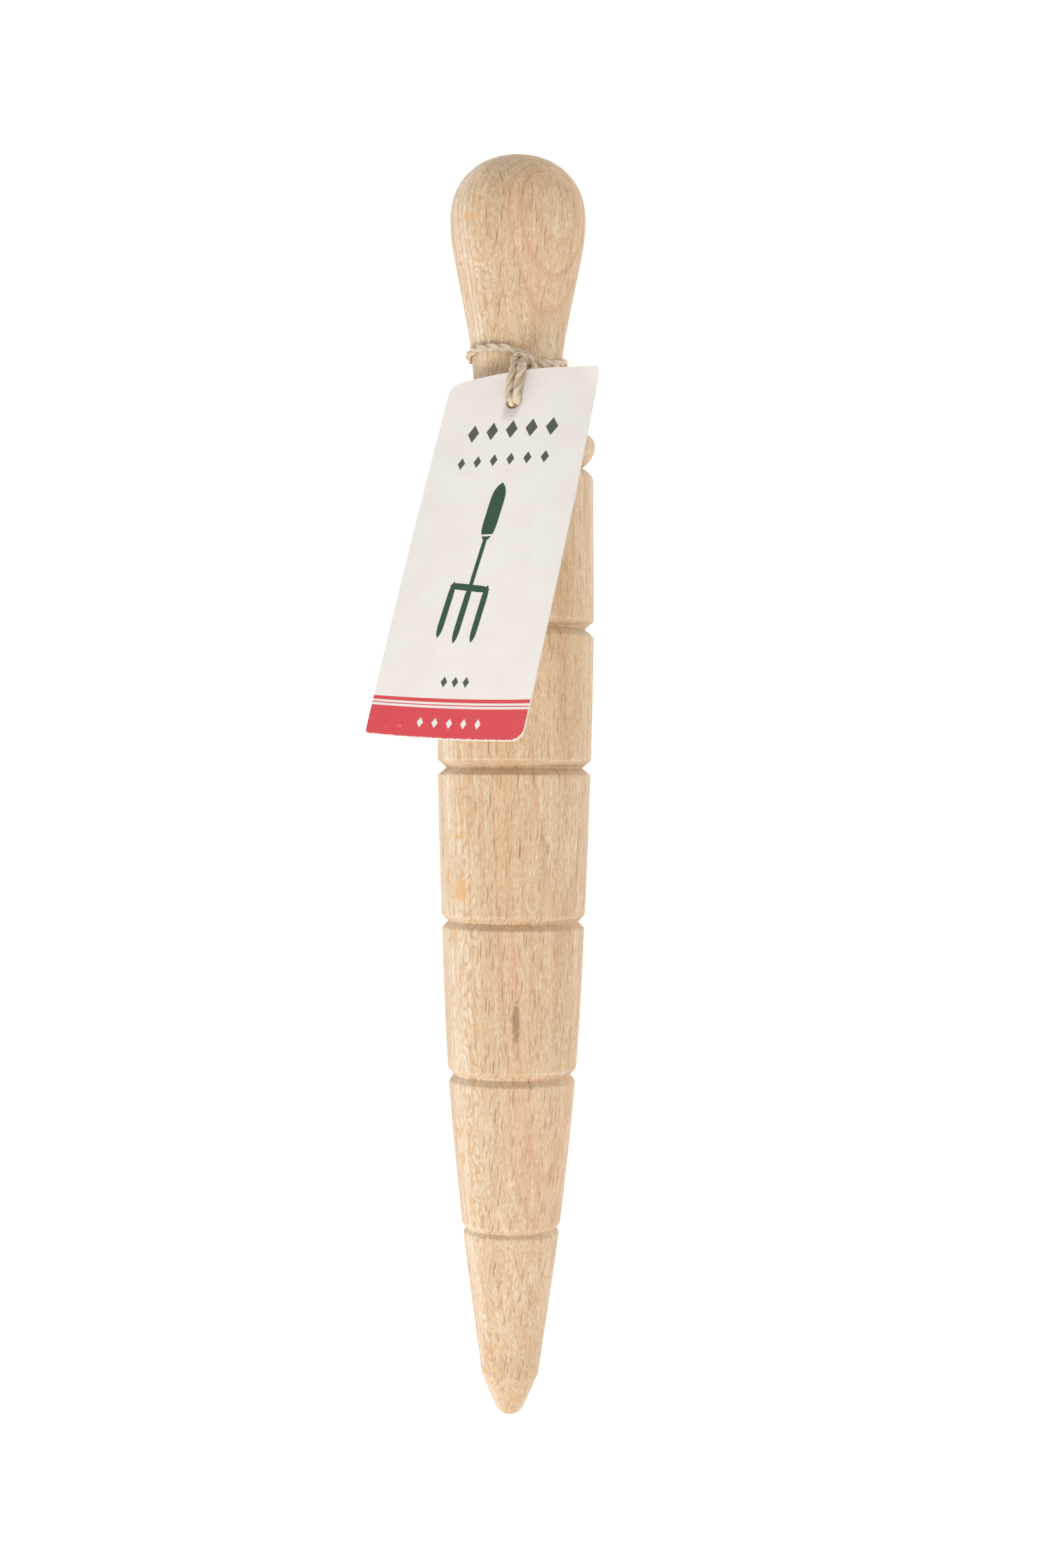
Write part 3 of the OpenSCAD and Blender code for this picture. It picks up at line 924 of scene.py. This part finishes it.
# %% Join plies and hairs
def twine_piece(name, plies, hairs):
    """Joins closed plies and the stray fibres of one strand or several into one mesh."""
    points, quads, triangles, around, along = [], [], [], [], []
    count = 0
    for ply in plies:
        rows, columns = ply.shape[:2]
        quads.append(count + grid_faces(rows, columns, close_rows=True, close_columns=True))
        points.append(ply.reshape(-1, 3))
        step = np.linalg.norm(np.diff(ply.mean(1), axis=0), axis=1).mean() / MM
        along.append(np.repeat(np.arange(rows) * step + 40 * len(along), columns))
        around.append(np.tile(np.arange(columns) * 2 * np.pi / columns, rows))
        count += rows * columns
    for hair in hairs:
        number, rows, columns = hair.shape[:3]
        one = grid_faces(rows, columns, close_columns=True)
        last = (rows - 1) * columns
        ends = np.array([[2, 1, 0], [last, last + 1, last + 2]])
        base = count + np.arange(number)[:, None, None] * rows * columns
        quads.append((base + one[None]).reshape(-1, 4))
        triangles.append((base + ends[None]).reshape(-1, 3))
        points.append(hair.reshape(-1, 3))
        along.append(np.repeat(np.arange(number) * 1.0, rows * columns))
        around.append(np.zeros(number * rows * columns))
        count += number * rows * columns
    piece = make_mesh(name, np.concatenate(points), np.concatenate(quads), np.concatenate(triangles))
    around = np.concatenate(around)
    point_value(piece, "fibre_across", np.cos(around))
    point_value(piece, "fibre_up", np.sin(around))
    point_value(piece, "fibre_along", np.concatenate(along))
    print(name, len(piece.data.polygons), "faces")
    return piece


# %% [markdown]
# The neck twine goes once round the handle. It isn't quite level: it is pulled down towards the tip
# where the knot hangs, and rides up on the other side. Its height at each angle is listed, and its
# distance from the axis is the wood's own radius there plus half the flattened twine.

# %% The twine round the neck
# Angle round from the top towards +X, in degrees, and station in millimetres.
NECK_ROUTE = [(-150, 251.0), (-90, 251.8), (-53, 252.4), (-32, 252.2), (-15, 251.8), (-4, 251.2),
              (4, 250.4), (13, 249.5), (24, 248.9), (42, 248.7), (68, 249.5), (92, 250.3),
              (150, 250.8)]
NECK_TWINE = 1.85 * MM
PRESSED = 0.72
NECK_CLEAR = 0.06 * MM


def round_neck(turn, height):
    """Point at an angle and a station, as far from the axis as twine lies on the wood there."""
    r = np.interp(height, station, radius) + PRESSED * NECK_TWINE / 2 + NECK_CLEAR
    return np.stack([r * np.sin(turn), height, AXIS_Z + r * np.cos(turn)], -1)


route = np.array(NECK_ROUTE)
neck_path = smooth_path(round_neck(np.radians(route[:, 0]), route[:, 1] * MM))
neck_path = round_neck(np.arctan2(neck_path[:, 0], neck_path[:, 2] - AXIS_Z), neck_path[:, 1])
neck_out = neck_path * np.array([1, 0, 1]) - np.array([0, 0, AXIS_Z])
neck_plies = [twisted_ply(neck_path, neck_out, phase, 21 + k, flat=PRESSED, thick=NECK_TWINE)
              for k, phase in enumerate((0, np.pi))]
neck_hair = stray_fibres(neck_path, neck_out, 260, 23, flat=PRESSED, thick=NECK_TWINE)
neck_twine = twine_piece("neck_twine_plies", neck_plies, [neck_hair])
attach(neck_twine, "neck_twine")
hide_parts("neck_twine")
print("neck twine %.0f mm round" % (length_round(neck_path) / MM))

# %% [markdown]
# The loop is doubled twine. Both strands come out of the tag's hole on the printed side, run
# up over the card's top edge, hitch over the neck twine, and go back under the card to the
# hole. The parts that lie on the card are placed in the card's own coordinates, and the hitch
# in millimetres from the knot, so the loop follows if the card is laid differently.

# %% The loop's route
# Points of each strand's hitch, in millimetres from the knot.
OUTER = [(-1.75, -2.2, 1.9), (-1.7, -1.1, 1.0), (-0.95, -0.3, 0.5), (0.2, -0.05, 0.4),
         (1.35, -0.65, 0.2), (2.3, -1.9, -0.1), (2.8, -3.2, -0.6)]
INNER = [(0.0, -2.9, 2.3), (0.15, -1.8, 1.1), (0.7, -1.2, -0.4), (1.3, -1.8, -1.3),
         (1.4, -3.0, -1.5)]
STRAND_APART = 1.06


def card_spot(across, down, lift):
    """A point given in the card's own millimetres: across, down from the top edge, above the face."""
    a, d, h = (np.array([v]) * MM for v in (across, down, lift))
    return on_card(a, d, h)[0]


def knot_spot(x, y, z):
    """A point given in millimetres from the middle of the knot."""
    return KNOT + np.array([x, y, z]) * MM


def loop_route(across, hitch):
    """One strand's route: out of the hole, up the card, through the hitch and back underneath."""
    front = [card_spot(0.68 * across, 8.35, 0.0), card_spot(across, 7.0, 1.2),
             card_spot(across, 4.6, 1.35), card_spot(across, 2.0, 1.45),
             card_spot(across + 0.1, -0.4, 1.35)]
    back = [card_spot(across, 2.2, -2.6), card_spot(0.9 * across, 6.2, -1.35)]
    return np.array(front + [knot_spot(*h) for h in hitch] + back)


loops = [loop_route(-STRAND_APART, OUTER), loop_route(STRAND_APART, INNER)]
print("loop routes of", [len(points) for points in loops], "points")

# %% [markdown]
# The loop is made as one mesh where it lies, running from the knot on the neck twine to the tag, and is
# attached to neither body.

# %% The doubled loop
plies, hairs = [], []
for k, points in enumerate(loops):
    path = smooth_path(points)
    outward = (path - path.mean(0)) * np.array([0.35, 1, 1])
    plies += [twisted_ply(path, outward, k, 31 + k),
              twisted_ply(path, outward, k + np.pi, 41 + k)]
    hairs.append(stray_fibres(path, outward, 190, 51 + k, fan=1.3))
    print("loop strand %d: %.0f mm" % (k + 1, length_round(path) / MM))
loop = twine_piece("tag_loop_plies", plies, hairs)
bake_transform(loop)
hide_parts("twine_knot", "tag_loop")

# %% [markdown]
# Natural twine is greyish tan, paler on the crowns of the plies and dark in the cracks
# between them. Fibres of slightly different colour run along it. The cracks darken by
# themselves in soft light, and the rest is streaks drawn on the strand.

# %% Twine material
def natural_twine():
    """Patchy tan, with darker and paler fibres that follow each ply, which also raise its surface."""
    g = Graph("natural_twine")
    place = g.node("ShaderNodeTexCoord").outputs["Object"]
    lie = g.vector(g.times(g.value("fibre_across"), 4.5), g.times(g.value("fibre_up"), 4.5),
                   g.times(g.value("fibre_along"), 0.5))
    fibres = g.noise(lie, 1.0, 3, 0.6)
    patch = g.ramp(g.noise(place, 600, 2), 0.3, 0.7)
    g.colour = g.blend(patch, srgb(232, 216, 192), srgb(216, 195, 166))
    g.lay(g.ramp(fibres, 0.5, 0.66, 0, 0.75), srgb(158, 130, 100))
    g.lay(g.ramp(fibres, 0.46, 0.32, 0, 0.7), srgb(240, 228, 206))
    g.put(g.shader.inputs["Base Color"], g.colour)
    g.shader.inputs["Roughness"].default_value = 0.85
    g.shader.inputs["Specular IOR Level"].default_value = 0.2
    g.put(g.shader.inputs["Normal"], g.bump(fibres, 0.12 * MM, 0.8))
    return g.material


twine_finish = natural_twine()
for piece in (neck_twine, loop):
    piece.data.materials.append(twine_finish)
print("twine finished")

# %% [markdown]
# ## Stage, light and camera
#
# The tool lies on a plain pale floor and is seen from straight above with a longish lens. The
# floor gives off a little light of its own, so that it stays white under a light soft enough
# for the wood.

# %% Floor
SPAN = 3.0
floor_mesh = bpy.data.meshes.new("floor")
floor_mesh.from_pydata([(-SPAN, -SPAN, 0), (SPAN, -SPAN, 0), (SPAN, SPAN, 0), (-SPAN, SPAN, 0)],
                       [], [(0, 1, 2, 3)])
floor = bpy.data.objects.new("floor", floor_mesh)
bpy.context.scene.collection.objects.link(floor)
floor_look = Graph("floor_white")
floor_look.shader.inputs["Base Color"].default_value = (0.85, 0.85, 0.85, 1)
floor_look.shader.inputs["Emission Color"].default_value = (1, 1, 1, 1)
floor_look.shader.inputs["Emission Strength"].default_value = 0.45
floor_look.shader.inputs["Roughness"].default_value = 0.9
floor_look.shader.inputs["Specular IOR Level"].default_value = 0.0
floor_mesh.materials.append(floor_look.material)
print("floor %.0f m across" % (2 * SPAN))

# %% [markdown]
# The key light is soft and comes from beyond the tip and a little to the left, so the side of
# each ring that faces the tip is bright and the side that faces the knob is darker. A weak
# fill from the right and an even world keep the shadows open.

# %% Lights
def soft_box(name, place, toward, size, power):
    """A square area light that faces the point it is aimed at."""
    light = bpy.data.lights.new(name, "AREA")
    light.shape, light.size, light.energy = "SQUARE", size, power
    lamp = bpy.data.objects.new(name, light)
    lamp.location = place
    lamp.rotation_mode = "QUATERNION"
    lamp.rotation_quaternion = (Vector(toward) - Vector(place)).to_track_quat("-Z", "Y")
    bpy.context.scene.collection.objects.link(lamp)


middle = (wood_low + wood_high) / 2
soft_box("key", (-0.62, -1.0, 1.0), middle, 0.8, 16)
soft_box("fill", (0.75, -0.1, 0.8), middle, 0.9, 3.6)
world = bpy.data.worlds.new("studio")
bpy.context.scene.world = world
world.use_nodes = True
background = world.node_tree.nodes["Background"]
background.inputs["Color"].default_value = (1, 1, 1, 1)
background.inputs["Strength"].default_value = 0.62
print("two soft boxes and an even world")

# %% [markdown]
# The camera hangs over the middle of the tool and looks straight down. The standard view
# transform keeps the colours as they are given.

# %% Camera
CAMERA_RIGHT, CAMERA_ALONG, CAMERA_UP = 0.002, 0.15005, 0.5395
CAMERA_TURN = np.radians(0.4)
lens = bpy.data.cameras.new("camera")
lens.lens, lens.sensor_width = 52.0, 36.0
lens.clip_start, lens.clip_end = 0.01, 10
camera = bpy.data.objects.new("camera", lens)
camera.location = (CAMERA_RIGHT, CAMERA_ALONG, AXIS_Z + CAMERA_UP)
camera.rotation_euler = (0, 0, CAMERA_TURN)
bpy.context.scene.collection.objects.link(camera)
bpy.context.scene.camera = camera
bpy.context.scene.view_settings.view_transform = "Standard"
print("camera %.0f mm above the axis" % (CAMERA_UP / MM))
